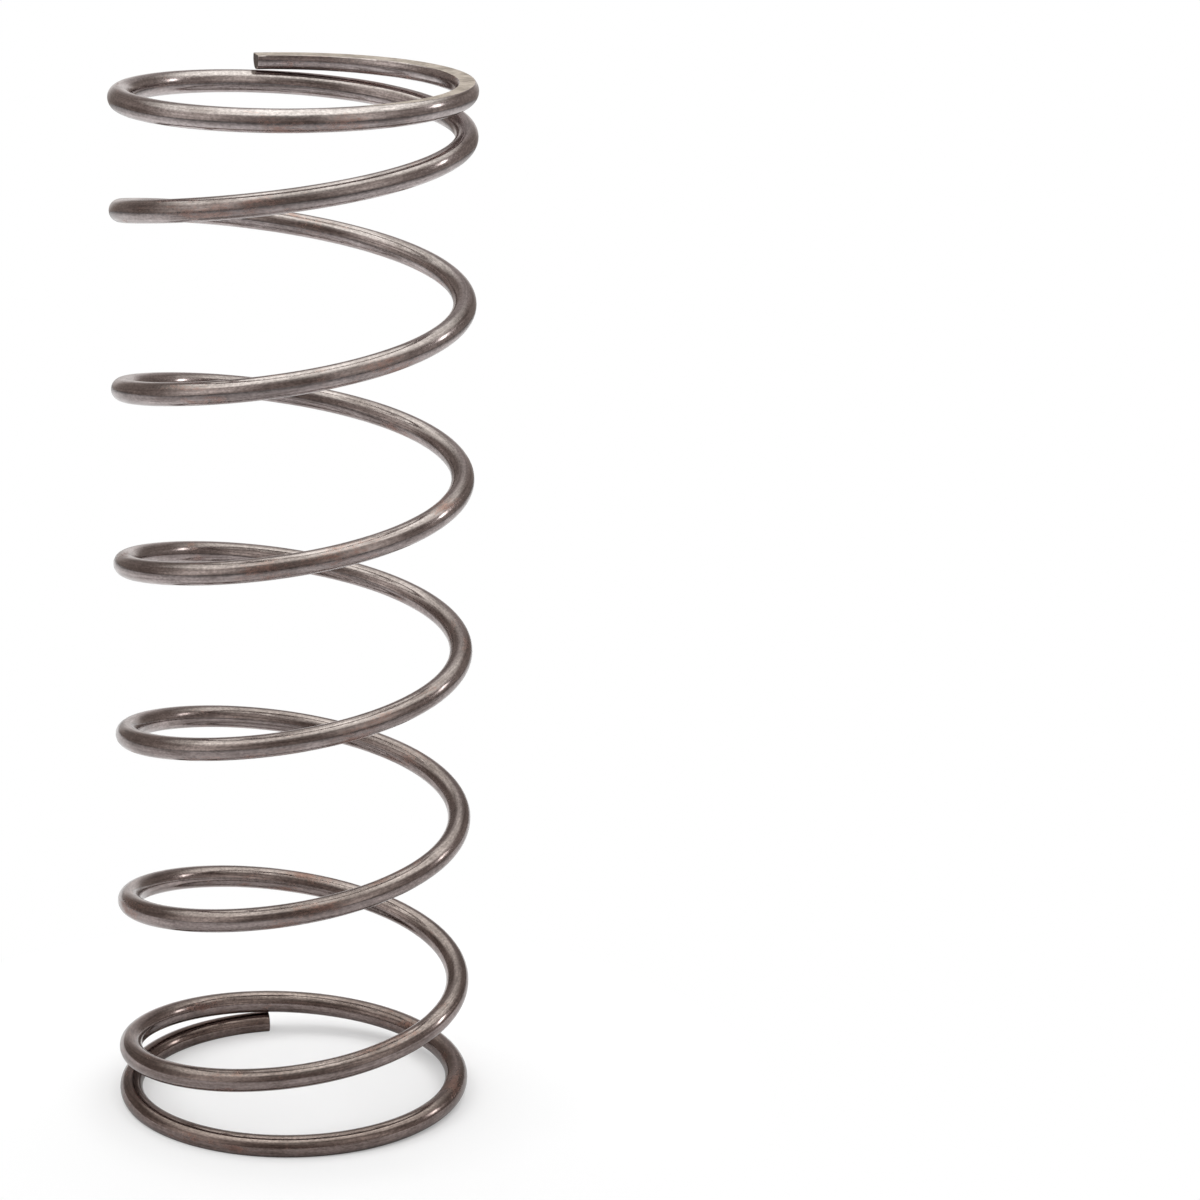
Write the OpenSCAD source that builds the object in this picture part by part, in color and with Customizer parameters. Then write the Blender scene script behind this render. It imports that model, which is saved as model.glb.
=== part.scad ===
// Compression spring for a long-travel shock absorber.
// One length of round wire, wound right-handed, with both ends closed and ground flat.

/* [Coil] */
// Height of the unloaded spring, from one ground face to the other, mm
free_length = 85; // [60:0.5:110]
// Outside diameter of the coil, mm
outside_d = 29; // [22:0.1:36]
// Diameter of the wire, mm
wire_d = 1.85; // [1.4:0.05:2.4]
// Turns of wire from one cut end to the other
total_turns = 8.01; // [6.5:0.01:9]
// Direction of the winding
winding = "right"; // [right, left]

/* [Lower end] */
// Rise of one turn while the end is still closed, mm
lower_closed_rise = 0; // [0:0.05:1.3]
// Turns over which the end opens from closed to the full pitch
lower_opening_turns = 1.8; // [1.4:0.01:2.2]
// Depth of wire ground off at the cut, mm
lower_grind_depth = 0.32; // [0.2:0.01:0.7]
// Direction of the cut, in degrees about the axis
lower_end_angle = 99.5; // [0:0.5:359.5]

/* [Upper end] */
// Rise of one turn while the end is still closed, mm
upper_closed_rise = 1.3; // [0:0.05:1.3]
// Turns over which the end opens from closed to the full pitch
upper_opening_turns = 1.28; // [1.2:0.01:2.2]
// Depth of wire ground off at the cut, mm
upper_grind_depth = 0.62; // [0.2:0.01:0.7]

/* [Both ends] */
// Space left between a cut end and the turn that it lies against, mm
tip_gap = 0.05; // [0.02:0.01:0.3]

/* [Smoothness] */
// Flats around the wire
ring_sides = 14; // [10:2:16]
// Rings of points along each turn
rings_per_turn = 40; // [32:4:44]

/* [Hidden] */
wire_colour = [0.44, 0.39, 0.36];

wire_r = wire_d / 2;
coil_r = (outside_d - wire_d) / 2;
turn_way = winding == "right" ? 1 : -1;

// An end: rise of a closed turn, turns over which it opens, height of the wire's centre at the cut
lower_end = [lower_closed_rise, lower_opening_turns, wire_r - lower_grind_depth];
upper_end = [upper_closed_rise, upper_opening_turns, wire_r - upper_grind_depth];

// The slope of an end grows along a smooth step, so its height is the integral of one
function step_integral(x) =
    x <= 0 ? 0
  : x < 1 ? pow(x, 3) - pow(x, 4) / 2
  : x - 0.5;

// Rise of the wire, counted in turns from its cut end. The end opens from the turn named start.
function rise(turns, end, start, pitch) =
    end[0] * turns + (pitch - end[0]) * end[1] * step_integral((turns - start) / end[1]);

// Turns that an end spends at its closed rise, the opening being shared evenly
function closed_turns(end, start) = start + end[1] / 2;

// Rise of one open turn, for which both ends together reach the free length
function full_pitch(starts) =
    let (
        lower_turns = closed_turns(lower_end, starts[0]),
        upper_turns = closed_turns(upper_end, starts[1]),
        closed_height = lower_end[0] * lower_turns + upper_end[0] * upper_turns
    )
    (free_length - lower_end[2] - upper_end[2] - closed_height)
    / (total_turns - lower_turns - upper_turns);

// Limits and fineness of the searches, in turns
start_low = -0.5;
start_high = 0.9;
fine_turn = 0.0001;

// An end opens where its first turn comes to lie against the cut
function opening_start(end, pitch, low, high) =
    let (middle = (low + high) / 2)
    high - low < fine_turn ? middle
  : rise(1, end, middle, pitch) > wire_d + tip_gap ? opening_start(end, pitch, middle, high)
  : opening_start(end, pitch, low, middle);

// The openings and the pitch depend on each other, so they are found in turn till they agree
function settled(starts) =
    let (
        pitch = full_pitch(starts),
        next = [for (end = [lower_end, upper_end])
            opening_start(end, pitch, start_low, start_high)],
        change = max(abs(next[0] - starts[0]), abs(next[1] - starts[1]))
    )
    change < fine_turn ? next : settled(next);

starts = settled([0, 0]);
pitch = full_pitch(starts);

// Height of the wire's centre, counted from the nearer end
function centre_height(turns) =
    turns <= total_turns / 2
    ? lower_end[2] + rise(turns, lower_end, starts[0], pitch)
    : free_length - upper_end[2] - rise(total_turns - turns, upper_end, starts[1], pitch);

// Slope of the wire to the ground plane, in degrees
function wire_slope(turns) =
    let (from = max(turns - fine_turn, 0), to = min(turns + fine_turn, total_turns))
    atan((centre_height(to) - centre_height(from)) / (2 * PI * coil_r * (to - from)));

// Half the angle of wire that a grinding plane takes off, seen from the wire's centre
function ground_half_angle(distance, slope) =
    let (reach = distance / (wire_r * cos(slope)))
    reach >= 1 ? 0 : acos(reach);

// One ring of points round the wire: a circle whose ground part is closed by a chord.
// A side angle of 0 points away from the axis and 90 points up. The first point lies
// lowest all the way along, so in the upper half the count starts half way round.
function wire_ring(turns) =
    let (
        height = centre_height(turns),
        slope = wire_slope(turns),
        lower_half = turns <= total_turns / 2,
        distance = lower_half ? height : free_length - height,
        half_gap = max(180 / ring_sides, ground_half_angle(distance, slope)),
        first = (lower_half ? -90 : 90) + half_gap,
        sweep = 360 - 2 * half_gap,
        shift = lower_half ? 0 : ring_sides / 2,
        around = lower_end_angle + turn_way * 360 * turns
    )
    [for (side = [0 : ring_sides - 1])
        let (
            angle = first + sweep * ((side + shift) % ring_sides) / (ring_sides - 1),
            outward = coil_r + wire_r * cos(angle),
            upward = wire_r * sin(angle),
            forward = -turn_way * upward * sin(slope)
        )
        [
            outward * cos(around) - forward * sin(around),
            outward * sin(around) + forward * cos(around),
            height + upward * cos(slope)
        ]
    ];

function reversed(list) = [for (place = [len(list) - 1 : -1 : 0]) list[place]];

// Closed mesh along the wire, with a square-cut face at each end
module wound_wire() {
    last_ring = round(total_turns * rings_per_turn);
    points = [for (ring = [0 : last_ring]) each wire_ring(total_turns * ring / last_ring)];
    walls = [for (ring = [0 : last_ring - 1], side = [0 : ring_sides - 1])
        let (
            here = ring * ring_sides + side,
            beside = ring * ring_sides + (side + 1) % ring_sides,
            ahead = here + ring_sides,
            across = beside + ring_sides
        )
        each [[here, beside, across], [here, across, ahead]]
    ];
    lower_cut = [for (side = [ring_sides - 1 : -1 : 0]) side];
    upper_cut = [for (side = [0 : ring_sides - 1]) last_ring * ring_sides + side];
    faces = concat(walls, [lower_cut, upper_cut]);
    polyhedron(
        points = points,
        faces = turn_way > 0 ? faces : [for (face = faces) reversed(face)],
        convexity = 10
    );
}

module spring() {
    color(wire_colour) wound_wire();
}

spring();
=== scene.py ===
import math

import bmesh
import bpy
from mathutils import Matrix, Quaternion, Vector


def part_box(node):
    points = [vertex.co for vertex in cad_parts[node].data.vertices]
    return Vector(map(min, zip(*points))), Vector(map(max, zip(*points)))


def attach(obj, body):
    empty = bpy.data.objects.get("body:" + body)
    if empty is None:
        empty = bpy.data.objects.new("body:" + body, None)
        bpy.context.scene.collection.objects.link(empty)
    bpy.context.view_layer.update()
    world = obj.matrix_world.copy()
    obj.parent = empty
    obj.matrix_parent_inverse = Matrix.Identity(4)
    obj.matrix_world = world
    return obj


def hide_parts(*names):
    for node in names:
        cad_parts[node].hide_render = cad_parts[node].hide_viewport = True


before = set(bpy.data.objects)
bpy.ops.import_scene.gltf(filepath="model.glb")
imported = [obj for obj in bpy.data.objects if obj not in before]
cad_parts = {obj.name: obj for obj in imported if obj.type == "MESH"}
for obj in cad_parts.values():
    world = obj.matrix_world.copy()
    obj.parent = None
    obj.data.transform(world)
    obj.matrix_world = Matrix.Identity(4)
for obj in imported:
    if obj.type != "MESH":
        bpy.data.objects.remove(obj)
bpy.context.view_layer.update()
springLow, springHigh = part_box("spring")
springSize = springHigh - springLow
millimetre = 0.001
print("frame loaded, spring", [round(side / millimetre, 2) for side in springSize], "mm")

# the coil, in millimetres and turns; its height and width come from the frame
coil = {
    "height": springSize.z / millimetre,
    "width": min(springSize.x, springSize.y) / millimetre,
    "wire": 1.85,
    "turns": 8.01,
    "tipGap": 0.05,  # space between a cut end and the turn beside it
    "lowerCut": 99.5,  # direction of the lower cut end, in degrees
    "ringSides": 36,
    "ringsPerTurn": 120,
    "rimRound": 0.06,  # rounding of the cut ends' rims
    "rimSegments": 3,
}
wireRadius = coil["wire"] / 2
coilRadius = (coil["width"] - coil["wire"]) / 2

# each end: rise of a closed turn, turns over which it opens, depth ground off at the cut
lowerEnd = {"closedRise": 0, "openingTurns": 1.8, "ground": 0.32}
upperEnd = {"closedRise": 1.3, "openingTurns": 1.28, "ground": 0.62}
ends = (lowerEnd, upperEnd)
for end in ends:
    end["centre"] = wireRadius - end["ground"]
    end["start"] = 0

# the search for the place where an end starts to open, in turns
firstStart, lastStart, finestStep = -0.5, 0.9, 1e-6
settlingRounds = 12
slopeStep = 0.001  # turns on each side over which the wire's slope is measured

# places of the materials on the mesh, where 0 is the bare wire
groundFace, cutFace = 1, 2


# height gained by a slope that grows along a smooth step
def smoothRise(share):
    if share <= 0:
        return 0
    if share < 1:
        return share ** 3 - share ** 4 / 2
    return share - 0.5


def riseAfter(turns, end, pitch):
    opened = smoothRise((turns - end["start"]) / end["openingTurns"])
    return end["closedRise"] * turns + (pitch - end["closedRise"]) * end["openingTurns"] * opened


# rise of one open turn, for which both ends together reach the full height
def fullPitch():
    height, turns = coil["height"], coil["turns"]
    for end in ends:
        closed = end["start"] + end["openingTurns"] / 2
        height -= end["centre"] + end["closedRise"] * closed
        turns -= closed
    return height / turns


# an end starts to open where its first turn comes to lie against the cut
def settleEnd(end, pitch):
    low, high = firstStart, lastStart
    while high - low > finestStep:
        end["start"] = (low + high) / 2
        if riseAfter(1, end, pitch) > coil["wire"] + coil["tipGap"]:
            low = end["start"]
        else:
            high = end["start"]


# the pitch and the two starts depend on each other, so they are settled in turn
for attempt in range(settlingRounds):
    coil["pitch"] = fullPitch()
    for end in ends:
        settleEnd(end, coil["pitch"])


def centreHeight(turns):
    if turns <= coil["turns"] / 2:
        return lowerEnd["centre"] + riseAfter(turns, lowerEnd, coil["pitch"])
    left = coil["turns"] - turns
    return coil["height"] - upperEnd["centre"] - riseAfter(left, upperEnd, coil["pitch"])


# where a ring of the wire stands: x points away from the axis, y up, z back along the wire
def ringPlace(turns):
    before, after = max(turns - slopeStep, 0), min(turns + slopeStep, coil["turns"])
    run = 2 * math.pi * coilRadius * (after - before)
    slope = math.atan((centreHeight(after) - centreHeight(before)) / run)
    around = math.radians(coil["lowerCut"] + 360 * turns)
    outward = Vector((math.cos(around), math.sin(around), 0))
    sideways = Vector((-math.sin(around), math.cos(around), 0))
    forward = sideways * math.cos(slope) + Vector((0, 0, math.sin(slope)))
    place = Matrix((outward, outward.cross(forward), -forward)).transposed().to_4x4()
    place.translation = outward * coilRadius + Vector((0, 0, centreHeight(turns)))
    return place


# a ring of edges is extruded and carried along the coil
def windWire(shape):
    sides, rings = coil["ringSides"], round(coil["ringsPerTurn"] * coil["turns"])
    sideOf = shape.verts.layers.int.new("side")
    ringOf = shape.verts.layers.int.new("ring")
    bmesh.ops.create_circle(shape, segments=sides, radius=wireRadius)
    for number, vert in enumerate(shape.verts):
        vert[sideOf] = number
    place = ringPlace(0)
    bmesh.ops.transform(shape, matrix=place, verts=shape.verts)
    firstRim = shape.edges[:]
    rim = firstRim
    for ring in range(1, rings + 1):
        grown = bmesh.ops.extrude_edge_only(shape, edges=rim)["geom"]
        verts = [item for item in grown if isinstance(item, bmesh.types.BMVert)]
        rim = [item for item in grown if isinstance(item, bmesh.types.BMEdge)]
        nextPlace = ringPlace(coil["turns"] * ring / rings)
        bmesh.ops.transform(shape, matrix=nextPlace @ place.inverted(), verts=verts)
        place = nextPlace
        for vert in verts:
            vert[ringOf] = ring
    unrollWire(shape, sideOf, ringOf, rings)
    return firstRim, rim


# the uv map: x along the wire, y round it, with its seam on the outside
def unrollWire(shape, sideOf, ringOf, rings):
    sides = coil["ringSides"]
    unrolled = shape.loops.layers.uv.new("wire")
    for face in shape.faces:
        closes = any(vert[sideOf] == sides - 1 for vert in face.verts)
        for loop in face.loops:
            side = loop.vert[sideOf]
            if closes and side == 0:
                side = sides
            loop[unrolled].uv = (loop.vert[ringOf] / rings, side / sides)
        face.smooth = True


# the cut ends: flat faces with slightly rounded rims
def closeCuts(shape, rims):
    for rim in rims:
        bmesh.ops.edgeloop_fill(shape, edges=rim, mat_nr=cutFace, use_smooth=False)
    bmesh.ops.bevel(
        shape, geom=[edge for rim in rims for edge in rim], affect="EDGES", material=-1,
        offset=coil["rimRound"], offset_type="OFFSET", segments=coil["rimSegments"], profile=0.5,
    )


# both ends are ground flat by a plane that cuts the wire
def grindEnds(shape):
    for height, outward in ((0, -1), (coil["height"], 1)):
        cut = bmesh.ops.bisect_plane(
            shape, geom=shape.verts[:] + shape.edges[:] + shape.faces[:],
            plane_co=(0, 0, height), plane_no=(0, 0, outward), clear_outer=True,
        )["geom_cut"]
        edges = [item for item in cut if isinstance(item, bmesh.types.BMEdge)]
        bmesh.ops.edgeloop_fill(shape, edges=edges, mat_nr=groundFace, use_smooth=False)


def makeSpring():
    shape = bmesh.new()
    closeCuts(shape, windWire(shape))
    grindEnds(shape)
    bmesh.ops.recalc_face_normals(shape, faces=shape.faces)
    bmesh.ops.scale(shape, vec=(millimetre,) * 3, verts=shape.verts)
    bmesh.ops.translate(shape, vec=(0, 0, springLow.z), verts=shape.verts)
    mesh = bpy.data.meshes.new("coiledWire")
    shape.to_mesh(mesh)
    shape.free()
    spring = bpy.data.objects.new("coiledWire", mesh)
    bpy.context.scene.collection.objects.link(spring)
    for material in (wireSteel(), groundSteel(), cutSteel()):
        mesh.materials.append(material)
    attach(spring, "root")
    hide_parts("spring")
    return spring


# a node with its settings and inputs; an input is a value or another node's socket
def addNode(tree, kind, inputs=None, **settings):
    made = tree.nodes.new(kind)
    for name, value in settings.items():
        setattr(made, name, value)
    for name, value in (inputs or {}).items():
        if isinstance(value, bpy.types.NodeSocket):
            tree.links.new(value, made.inputs[name])
        else:
            made.inputs[name].default_value = value
    return made


def doMath(tree, operation, first, second=0.0):
    return addNode(tree, "ShaderNodeMath", {0: first, 1: second}, operation=operation).outputs[0]


def addNoise(tree, vector, scale, detail, roughness):
    inputs = {"Vector": vector, "Scale": scale, "Detail": detail, "Roughness": roughness}
    return addNode(tree, "ShaderNodeTexNoise", inputs).outputs[0]


def reRange(tree, value, low, high, toLow=0.0, toHigh=1.0):
    inputs = {"Value": value, "From Min": low, "From Max": high, "To Min": toLow, "To Max": toHigh}
    return addNode(tree, "ShaderNodeMapRange", inputs).outputs[0]


def mixColours(tree, share, first, second, how="MIX"):
    inputs = {0: share, 6: first, 7: second}
    mix = addNode(tree, "ShaderNodeMix", inputs, data_type="RGBA", blend_type=how)
    return mix.outputs[2]


def newMaterial(name):
    material = bpy.data.materials.new(name)
    material.use_nodes = True
    return material, material.node_tree


# bare metal; the bumps are pairs of a height and its depth in metres
def coverSteel(tree, colour, roughness, bumps):
    surface = tree.nodes["Principled BSDF"]
    surface.inputs["Metallic"].default_value = 1.0
    tree.links.new(colour, surface.inputs["Base Color"])
    tree.links.new(roughness, surface.inputs["Roughness"])
    inputs = {"Strength": 1.0}
    for height, depth in bumps:
        inputs = {**inputs, "Height": height, "Distance": depth}
        inputs["Normal"] = addNode(tree, "ShaderNodeBump", inputs).outputs[0]
    tree.links.new(inputs["Normal"], surface.inputs["Normal"])


# shares along the wire and round it, both from 0 to 1
def wireShares(tree):
    unrolled = addNode(tree, "ShaderNodeUVMap", uv_map="wire").outputs[0]
    return addNode(tree, "ShaderNodeSeparateXYZ", {0: unrolled}).outputs[:2]


# noise in millimetres round and along the wire, with no seam; stretch shortens the way along
def wireNoise(tree, stretch, scale, detail, roughness):
    along, about = wireShares(tree)
    angle = doMath(tree, "MULTIPLY", about, 2 * math.pi)
    length = 2 * math.pi * coilRadius * coil["turns"]
    inputs = {
        0: doMath(tree, "MULTIPLY", doMath(tree, "COSINE", angle), wireRadius),
        1: doMath(tree, "MULTIPLY", doMath(tree, "SINE", angle), wireRadius),
        2: doMath(tree, "MULTIPLY", along, length * stretch),
    }
    point = addNode(tree, "ShaderNodeCombineXYZ", inputs).outputs[0]
    return addNoise(tree, point, scale, detail, roughness)


wireLook = {
    "steel": (0.480, 0.415, 0.388, 1),
    "oxide": (0.220, 0.180, 0.163, 1),
    "rust": (0.325, 0.215, 0.180, 1),
    "lineNoise": (0.02, 5.0, 3.0, 0.6),  # stretch, scale, detail and roughness of each noise
    "patchNoise": (0.25, 1.1, 3.0, 0.6),
    "grainNoise": (0.5, 7.0, 3.0, 0.6),
    "markNoise": (6.0, 0.4, 2.0, 0.5),
    "rustNoise": (0.3, 0.5, 4.0, 0.65),
    "oxideEdge": (0.37, 0.63),  # the noise between which the oxide grows from none to full
    "rustEdge": (0.70, 0.81),
    "rustGrain": 0.25,  # how much the grain frays the rust
    "grain": (0.74, 1.26),  # how far fine grain darkens and lightens the colour
    "grainRange": (0.33, 0.67),
    "marks": (0.95, 1.04),  # the same for faint marks across the wire
    "markRange": (0.35, 0.65),
    "paintedShadeLow": (0.59, 0.525, 0.51, 1),  # painted shade: the lower turns are painted darker and browner, standing in for less light near the floor
    # painted light: the upper turns are painted lighter and bluer
    "paintedLightHigh": (1.30, 1.33, 1.41, 1),
    "paintedShadingCurve": 0.78,
    "roughness": (0.10, 0.20),
    "roughRange": (0.35, 0.65),
    "rustRoughness": 0.38,
    "drawLineDepth": 0.0000035,
    "grainDepth": 0.000002,
}


# bare drawn spring wire: draw lines along it, brown oxide in patches, light rust, fine grain, and
# painted shade and light that darken the lower turns and lighten the upper ones
def wireSteel():
    material, tree = newMaterial("drawnSpringWire")
    look = wireLook
    lines, patches, grain, marks, rusted = (
        wireNoise(tree, *look[name])
        for name in ("lineNoise", "patchNoise", "grainNoise", "markNoise", "rustNoise")
    )
    halves = (doMath(tree, "MULTIPLY", noise, 0.5) for noise in (lines, patches))
    oxidised = reRange(tree, doMath(tree, "ADD", *halves), *look["oxideEdge"])
    colour = mixColours(tree, oxidised, look["steel"], look["oxide"])
    frayed = doMath(tree, "MULTIPLY", grain, look["rustGrain"])
    rusted = reRange(tree, doMath(tree, "ADD", rusted, frayed), *look["rustEdge"])
    colour = mixColours(tree, rusted, colour, look["rust"])
    grainShade = reRange(tree, grain, *look["grainRange"], *look["grain"])
    markShade = reRange(tree, marks, *look["markRange"], *look["marks"])
    shade = doMath(tree, "MULTIPLY", grainShade, markShade)
    colour = mixColours(tree, 1.0, colour, shade, "MULTIPLY")
    # painted shade and light: the colour darkens towards the lower turns and lightens towards the
    # upper ones
    upward = doMath(tree, "POWER", wireShares(tree)[0], look["paintedShadingCurve"])
    paintedShading = mixColours(tree, upward, look["paintedShadeLow"], look["paintedLightHigh"])
    colour = mixColours(tree, 1.0, colour, paintedShading, "MULTIPLY")
    roughness = reRange(tree, patches, *look["roughRange"], *look["roughness"])
    inputs = {0: rusted, 2: roughness, 3: look["rustRoughness"]}
    roughness = addNode(tree, "ShaderNodeMix", inputs).outputs[0]
    bumps = ((lines, look["drawLineDepth"]), (grain, look["grainDepth"]))
    coverSteel(tree, colour, roughness, bumps)
    return material


groundLook = {
    "steel": (0.80, 0.71, 0.63, 1),
    "stained": (0.42, 0.355, 0.31, 1),
    "roughness": (0.42, 0.58),
    "scratchTurn": 24,  # direction of the grinding marks, in degrees
    "scratchScale": (400, 9000, 1),
    "scratchNoise": (1.0, 3.0, 0.6),  # scale, detail and roughness of each noise
    "scratchDepth": 0.000008,
    "stainNoise": (900.0, 4.0, 0.65),
    "stainEdge": (0.88, 1.12),
    "roughRange": (0.3, 0.7),
}


# the ground faces: brighter, with straight grinding marks and stains
def groundSteel():
    material, tree = newMaterial("groundWireEnd")
    look = groundLook
    place = addNode(tree, "ShaderNodeTexCoord").outputs["Object"]
    rotation = (0, 0, math.radians(look["scratchTurn"]))
    inputs = {"Vector": place, "Rotation": rotation, "Scale": look["scratchScale"]}
    turned = addNode(tree, "ShaderNodeMapping", inputs).outputs[0]
    scratches = addNoise(tree, turned, *look["scratchNoise"])
    stains = addNoise(tree, place, *look["stainNoise"])
    stained = reRange(tree, doMath(tree, "ADD", scratches, stains), *look["stainEdge"])
    colour = mixColours(tree, stained, look["steel"], look["stained"])
    roughness = reRange(tree, stains, *look["roughRange"], *look["roughness"])
    coverSteel(tree, colour, roughness, ((scratches, look["scratchDepth"]),))
    return material


cutLook = {
    "steel": (0.30, 0.26, 0.24, 1),
    "burnt": (0.12, 0.095, 0.085, 1),
    "roughness": (0.35, 0.55),
    "tearScale": (5000, 5000, 900),
    "tearNoise": (1.0, 4.0, 0.65),  # scale, detail and roughness
    "tearDepth": 0.00002,
    "burntEdge": (0.4, 0.62),
    "roughRange": (0.3, 0.7),
}


# the cut ends: rougher, with the tear marks of the shears
def cutSteel():
    material, tree = newMaterial("cutWireEnd")
    look = cutLook
    place = addNode(tree, "ShaderNodeTexCoord").outputs["Object"]
    inputs = {"Vector": place, "Scale": look["tearScale"]}
    stretched = addNode(tree, "ShaderNodeMapping", inputs).outputs[0]
    tears = addNoise(tree, stretched, *look["tearNoise"])
    burnt = reRange(tree, tears, *look["burntEdge"])
    colour = mixColours(tree, burnt, look["steel"], look["burnt"])
    roughness = reRange(tree, tears, *look["roughRange"], *look["roughness"])
    coverSteel(tree, colour, roughness, ((tears, look["tearDepth"]),))
    return material


spring = makeSpring()
print("spring made,", len(spring.data.polygons), "faces")

# the studio: distances in metres, directions in degrees, where azimuth 0 lies behind the spring
studio = {
    "floorSize": 0.7,
    # the floor's colours inside and outside a painted pool of light round the spring
    "floorInPaintedPool": (0.93, 0.93, 0.93, 1),
    "floorBeyondPaintedPool": (0.25, 0.25, 0.25, 1),
    "floorWhite": 0.28,  # share of plain white that the camera sees, which softens the shadow
    "white": (0.014, 0.040),  # the camera's floor fades to plain white between these distances
    "mirrored": 0.71,  # painted shade: the floor's colour is darkened to this share where the steel mirrors it
    "bright": (0, 0.12, 0),  # a painted pool of light: the floor's colour dims between these distances from this place
    "dim": (0.10, 0.32),
    "fill": 0.46,  # plain light from all round, for matt surfaces
    "room": (0.250, 0.217, 0.198, 1),  # what the steel mirrors where nothing glows
}
lamps = {
    # for matt surfaces; name: azimuth, elevation, width, height, distance, brightness
    "overhead": (-15, 84, 92, 78, 0.35, 1.75),
    "leftFront": (-116, 20, 38, 40, 0.9, 1.15),
    "rightFront": (138, 24, 34, 38, 0.9, 0.85),
}
glows = {
    # for the steel; name: azimuth, elevation, roll, half width, half height, softness, colour
    "overhead": (-10, 80, 0, 1.04, 0.82, 0.36, (1.09, 1.17, 1.12)),
    "overheadMiddle": (-10, 82, 0, 0.84, 0.66, 1.0, (0.73, 0.79, 0.76)),
    "overheadFront": (180, 56, 0, 0.65, 0.50, 1.0, (0.21, 0.24, 0.23)),
    "leftFront": (-114, 16, 0, 0.75, 1.00, 1.0, (0.63, 0.63, 0.61)),
    "rightFront": (138, 22, 0, 0.62, 0.95, 1.0, (0.49, 0.49, 0.47)),
    "rightSide": (85, 10, 0, 1.20, 0.90, 1.0, (0.10, 0.10, 0.10)),
    "behind": (5, 24, 0, 0.48, 0.60, 1.0, (0.20, 0.20, 0.21)),
    "backdrop": (0, 0, 0, 0.50, 0.30, 0.9, (0.52, 0.52, 0.52)),
    "lampHalo": (74, 26, -30, 0.30, 0.50, 1.0, (0.30, 0.30, 0.30)),
    "lamp": (75.5, 22, -30, 0.085, 0.185, 0.6, (5.0, 5.1, 5.1)),
}


def directionOf(azimuth, elevation):
    turn, lift = math.radians(azimuth), math.radians(elevation)
    level = math.cos(lift)
    return Vector((math.sin(turn) * level, math.cos(turn) * level, math.sin(lift)))


# an area light that the steel doesn't mirror, for the glows in the room stand in for it there
def addLamp(name, azimuth, elevation, width, height, distance, brightness):
    lamp = bpy.data.lights.new(name, "AREA")
    lamp.shape = "RECTANGLE"
    lamp.size = 2 * distance * math.tan(math.radians(width / 2))
    lamp.size_y = 2 * distance * math.tan(math.radians(height / 2))
    lamp.energy = brightness * math.pi * lamp.size * lamp.size_y
    box = bpy.data.objects.new(name, lamp)
    direction = directionOf(azimuth, elevation)
    box.location = direction * distance + Vector((0, 0, coil["height"] * millimetre / 2))
    box.rotation_euler = direction.to_track_quat("Z", "Y").to_euler()
    box.visible_camera = False
    box.visible_glossy = False
    bpy.context.scene.collection.objects.link(box)


# a soft-edged oval of light, added to what is mirrored
def addGlow(tree, mirrored, azimuth, elevation, roll, wide, tall, softness, colour):
    toward = directionOf(azimuth, elevation)
    turned = toward.to_track_quat("Z", "Y") @ Quaternion((0, 0, 1), math.radians(roll))
    inputs = {
        "Vector": addNode(tree, "ShaderNodeTexCoord").outputs["Generated"],
        "Location": toward, "Rotation": turned.to_euler(), "Scale": (wide, tall, 1),
    }
    placed = addNode(tree, "ShaderNodeMapping", inputs, vector_type="TEXTURE").outputs[0]
    oval = addNode(tree, "ShaderNodeTexGradient", {"Vector": placed}, gradient_type="SPHERICAL")
    inputs = {"Value": oval.outputs["Fac"], "From Min": 0.0, "From Max": softness}
    share = addNode(tree, "ShaderNodeMapRange", inputs, interpolation_type="SMOOTHSTEP").outputs[0]
    return mixColours(tree, share, mirrored, (*colour, 1), "ADD")


# a dim room with soft glows for the steel, plain fill for matt surfaces, white for the camera
def lightRoom():
    world = bpy.data.worlds.new("room")
    bpy.context.scene.world = world
    world.use_nodes = True
    tree = world.node_tree
    tree.nodes.clear()
    mirrored = studio["room"]
    for facts in glows.values():
        mirrored = addGlow(tree, mirrored, *facts)
    path = addNode(tree, "ShaderNodeLightPath")
    fill = studio["fill"]
    colour = mixColours(tree, path.outputs["Is Glossy Ray"], (fill, fill, fill, 1), mirrored)
    colour = mixColours(tree, path.outputs["Is Camera Ray"], colour, (1, 1, 1, 1))
    light = addNode(tree, "ShaderNodeBackground", {"Color": colour, "Strength": 1.0})
    addNode(tree, "ShaderNodeOutputWorld", {"Surface": light.outputs[0]})


def distanceTo(tree, place, target):
    inputs = {0: place, 1: target}
    return addNode(tree, "ShaderNodeVectorMath", inputs, operation="DISTANCE").outputs["Value"]
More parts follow.
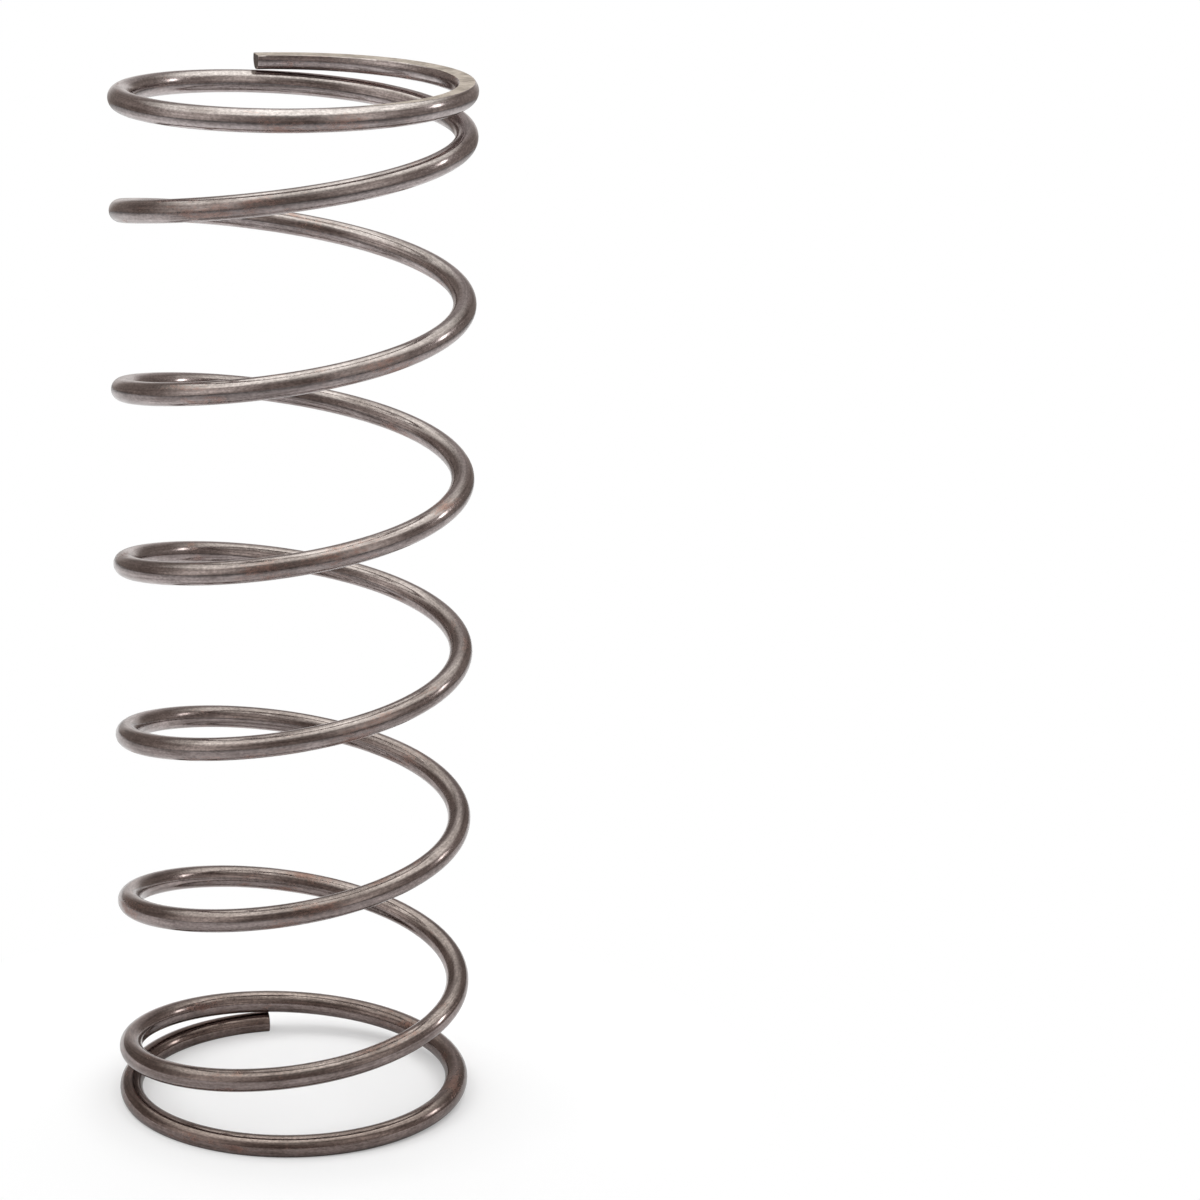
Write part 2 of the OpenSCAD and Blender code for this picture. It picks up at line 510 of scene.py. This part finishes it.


# a matt floor that keeps the spring's shadow and is plain white further off, with a painted pool
# of light round the spring and painted shade where the steel mirrors it
def floorMaterial():
    material, tree = newMaterial("paleFloor")
    tree.nodes.clear()
    path = addNode(tree, "ShaderNodeLightPath")
    place = addNode(tree, "ShaderNodeTexCoord").outputs["Object"]
    away = distanceTo(tree, place, (0, 0, 0))
    # painted pool of light: the floor's colour fades from bright near the spring to dim further
    # off
    dimmed = reRange(tree, distanceTo(tree, place, studio["bright"]), *studio["dim"])
    colour = mixColours(tree, dimmed, studio["floorInPaintedPool"], studio["floorBeyondPaintedPool"])
    # painted shade: the floor is darker where the steel mirrors it
    paintedShadeInSteel = reRange(tree, path.outputs["Is Glossy Ray"], 0, 1, 1, studio["mirrored"])
    colour = mixColours(tree, 1.0, colour, paintedShadeInSteel, "MULTIPLY")
    matt = addNode(tree, "ShaderNodeBsdfDiffuse", {"Color": colour})
    white = addNode(tree, "ShaderNodeEmission", {"Strength": 1.0})
    share = reRange(tree, away, *studio["white"], studio["floorWhite"], 1.0)
    share = doMath(tree, "MULTIPLY", share, path.outputs["Is Camera Ray"])
    mix = addNode(tree, "ShaderNodeMixShader", {0: share, 1: matt.outputs[0], 2: white.outputs[0]})
    addNode(tree, "ShaderNodeOutputMaterial", {"Surface": mix.outputs[0]})
    return material


def makeFloor():
    shape = bmesh.new()
    bmesh.ops.create_grid(shape, x_segments=1, y_segments=1, size=studio["floorSize"] / 2)
    mesh = bpy.data.meshes.new("floor")
    shape.to_mesh(mesh)
    shape.free()
    mesh.materials.append(floorMaterial())
    floor = bpy.data.objects.new("floor", mesh)
    bpy.context.scene.collection.objects.link(floor)


makeFloor()
for name, facts in lamps.items():
    addLamp(name, *facts)
lightRoom()
print("studio lit")

# the camera: metres and degrees
shot = {
    "back": 0.3159,
    "up": 0.1340,
    "down": 16.08,  # pitch below the horizon
    "right": 4.50,  # turn to the right of the spring
    "roll": 1.21,
    "focalPixels": 4047,
    "picturePixels": 1200,
    "sensor": 36.0,  # millimetres
    "clipStart": 0.01,
}


def placeCamera():
    yaw, roll = math.radians(shot["right"]), math.radians(shot["roll"])
    forward = directionOf(shot["right"], -shot["down"])
    side = Vector((math.cos(yaw), -math.sin(yaw), 0))
    upward = side.cross(forward)
    across = side * math.cos(roll) + upward * math.sin(roll)
    above = upward * math.cos(roll) - side * math.sin(roll)
    lens = bpy.data.cameras.new("camera")
    lens.sensor_width = shot["sensor"]
    lens.lens = shot["focalPixels"] * shot["sensor"] / shot["picturePixels"]
    lens.clip_start = shot["clipStart"]
    camera = bpy.data.objects.new("camera", lens)
    place = Matrix((across, above, -forward)).transposed().to_4x4()
    place.translation = (0, -shot["back"], shot["up"])
    camera.matrix_world = place
    bpy.context.scene.collection.objects.link(camera)
    bpy.context.scene.camera = camera


placeCamera()
bpy.context.scene.view_settings.view_transform = "Standard"
